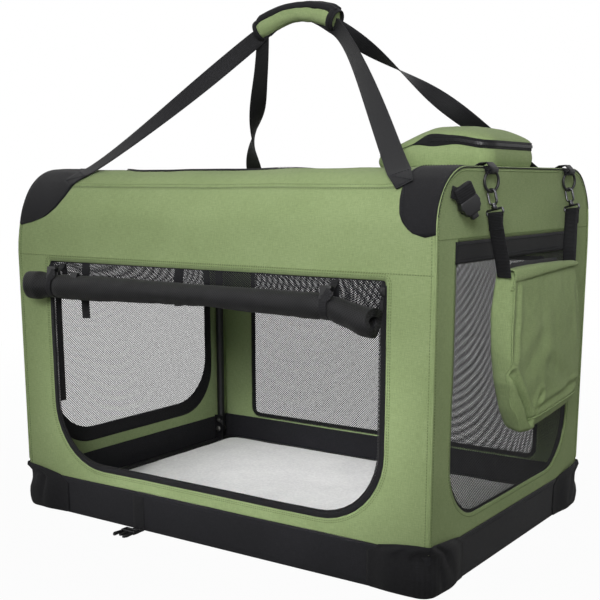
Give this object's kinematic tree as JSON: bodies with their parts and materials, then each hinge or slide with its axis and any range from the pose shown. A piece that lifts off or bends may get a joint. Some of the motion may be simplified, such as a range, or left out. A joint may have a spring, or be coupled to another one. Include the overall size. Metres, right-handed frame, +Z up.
{
  "type": "soft folding dog crate",
  "caption": "Soft-sided folding dog crate: steel tube hoops that fold onto the base, mesh windows, rolled front door, carry straps, side bag and roof pouch.",
  "frame": {"origin": "centre of the base's underside, on the floor", "axes": "+X along the crate's length towards the end with the side bag, -Y towards the front door, +Z up"},
  "size_m": [0.8648, 0.6225, 0.8564],
  "materials": {
    "green_cloth": "coarse woven polyester with a coated back",
    "black_cloth": "black webbing, binding and coated cloth",
    "black_mesh": "black knitted mesh",
    "fleece": "pale pile fleece",
    "black_paint": "satin black powder coat on steel",
    "bright_steel": "nickel-plated steel",
    "gunmetal": "dark nickel plate on cast zinc",
    "black_plastic": "moulded black plastic",
    "board": "stiff dark floor board"
  },
  "bodies": {
    "crate": {"back_carry_strap": "black_cloth", "back_mesh_window": "black_mesh", "back_panel": "green_cloth", "bag_back_ring": "black_plastic", "bag_back_web_loop": "black_cloth", "bag_front_ring": "black_plastic", "bag_front_web_loop": "black_cloth", "base_board": "board", "base_cover": "black_cloth", "base_frame": "black_paint", "closing_buckle_plug": "black_plastic", "closing_strap": "black_cloth", "floor_mat": "fleece", "front_carry_strap": "black_cloth", "front_door_binding": "black_cloth", "front_panel": "green_cloth", "handle_wrap": "green_cloth", "left_back_corner_patch": "black_cloth", "left_back_pivot_plate": "black_paint", "left_back_pivot_rivet": "bright_steel", "left_front_corner_patch": "black_cloth", "left_front_pivot_plate": "black_paint", "left_front_pivot_rivet": "bright_steel", "left_inner_tab": "black_cloth", "left_mesh_window": "black_mesh", "left_panel": "green_cloth", "middle_inner_tab": "black_cloth", "right_back_corner_patch": "black_cloth", "right_back_pivot_plate": "black_paint", "right_back_pivot_rivet": "bright_steel", "right_front_corner_patch": "black_cloth", "right_front_pivot_plate": "black_paint", "right_front_pivot_rivet": "bright_steel", "right_mesh_window": "black_mesh", "right_panel": "green_cloth", "roof_mesh_window": "black_mesh", "roof_panel": "green_cloth", "roof_pouch": "green_cloth", "roof_pouch_tab": "black_cloth"},
    "left_hoop": {"left_hoop": "black_paint"},
    "right_hoop": {"right_hoop": "black_paint"},
    "left_front_button": {"left_front_snap_button": "bright_steel"},
    "left_back_button": {"left_back_snap_button": "bright_steel"},
    "right_front_button": {"right_front_snap_button": "bright_steel"},
    "right_back_button": {"right_back_snap_button": "bright_steel"},
    "door_roll": {"rolled_mesh_door": "black_mesh", "left_door_tie": "black_cloth", "right_door_tie": "black_cloth"},
    "zip_slider": {"door_zip_slider": "black_plastic"},
    "zip_pull": {"door_zip_pull": "black_plastic"},
    "bag": {"side_bag": "green_cloth", "bag_front_hook": "gunmetal", "bag_back_hook": "gunmetal", "bag_front_strap": "black_cloth", "bag_back_strap": "black_cloth"},
    "bag_flap": {"side_bag_flap": "green_cloth"},
    "pouch_lid": {"roof_pouch_lid": "green_cloth"},
    "buckle": {"side_buckle_web": "black_cloth", "side_buckle": "black_plastic"}
  },
  "joints": [
    {"name": "left_hoop_fold", "type": "hinge", "parent": "crate", "child": "left_hoop", "pos_m": [-0.3905, 0, 0.04], "axis": [0, 1, 0], "range_deg": [0, 90]},
    {"name": "right_hoop_fold", "type": "hinge", "parent": "crate", "child": "right_hoop", "pos_m": [0.3905, 0, 0.064], "axis": [0, 1, 0], "range_deg": [-85.5, 0]},
    {"name": "left_front_button_press", "type": "slide", "parent": "left_hoop", "child": "left_front_button", "axis": [0, 1, 0], "range_m": [-0.004, 0], "stiffness_N_per_m": 600, "springref_m": 0.002},
    {"name": "left_back_button_press", "type": "slide", "parent": "left_hoop", "child": "left_back_button", "axis": [0, -1, 0], "range_m": [-0.004, 0], "stiffness_N_per_m": 600, "springref_m": 0.002},
    {"name": "right_front_button_press", "type": "slide", "parent": "right_hoop", "child": "right_front_button", "axis": [0, 1, 0], "range_m": [-0.004, 0], "stiffness_N_per_m": 600, "springref_m": 0.002},
    {"name": "right_back_button_press", "type": "slide", "parent": "right_hoop", "child": "right_back_button", "axis": [0, -1, 0], "range_m": [-0.004, 0], "stiffness_N_per_m": 600, "springref_m": 0.002},
    {"name": "door_roll_swing", "type": "hinge", "parent": "crate", "child": "door_roll", "pos_m": [0, -0.2872, 0.446], "axis": [1, 0, 0], "range_deg": [-35, 0]},
    {"name": "door_zip_slide", "type": "slide", "parent": "crate", "child": "zip_slider", "axis": [0, 0, 1], "range_m": [-0.2, 0]},
    {"name": "zip_pull_swing", "type": "hinge", "parent": "zip_slider", "child": "zip_pull", "pos_m": [0.3252, -0.28705, 0.4211], "axis": [1, 0, 0], "range_deg": [-90, 0]},
    {"name": "side_bag_swing", "type": "hinge", "parent": "crate", "child": "bag", "pos_m": [0.413, 0, 0.5605], "axis": [0, 1, 0], "range_deg": [-60, 0]},
    {"name": "bag_flap_open", "type": "hinge", "parent": "bag", "child": "bag_flap", "pos_m": [0.408, 0, 0.44905], "axis": [0, 1, 0], "range_deg": [-90, 0]},
    {"name": "pouch_lid_open", "type": "hinge", "parent": "crate", "child": "pouch_lid", "pos_m": [0.2, 0, 0.6356], "axis": [0, 1, 0], "range_deg": [-85, 0]},
    {"name": "side_buckle_swing", "type": "hinge", "parent": "crate", "child": "buckle", "pos_m": [0.4059, -0.222, 0.572], "axis": [0, 1, 0], "range_deg": [-70, 0]}
  ],
  "couplings": [
    {"joint": "right_hoop_fold", "follows": "left_hoop_fold", "ratio": -0.95}
  ]
}
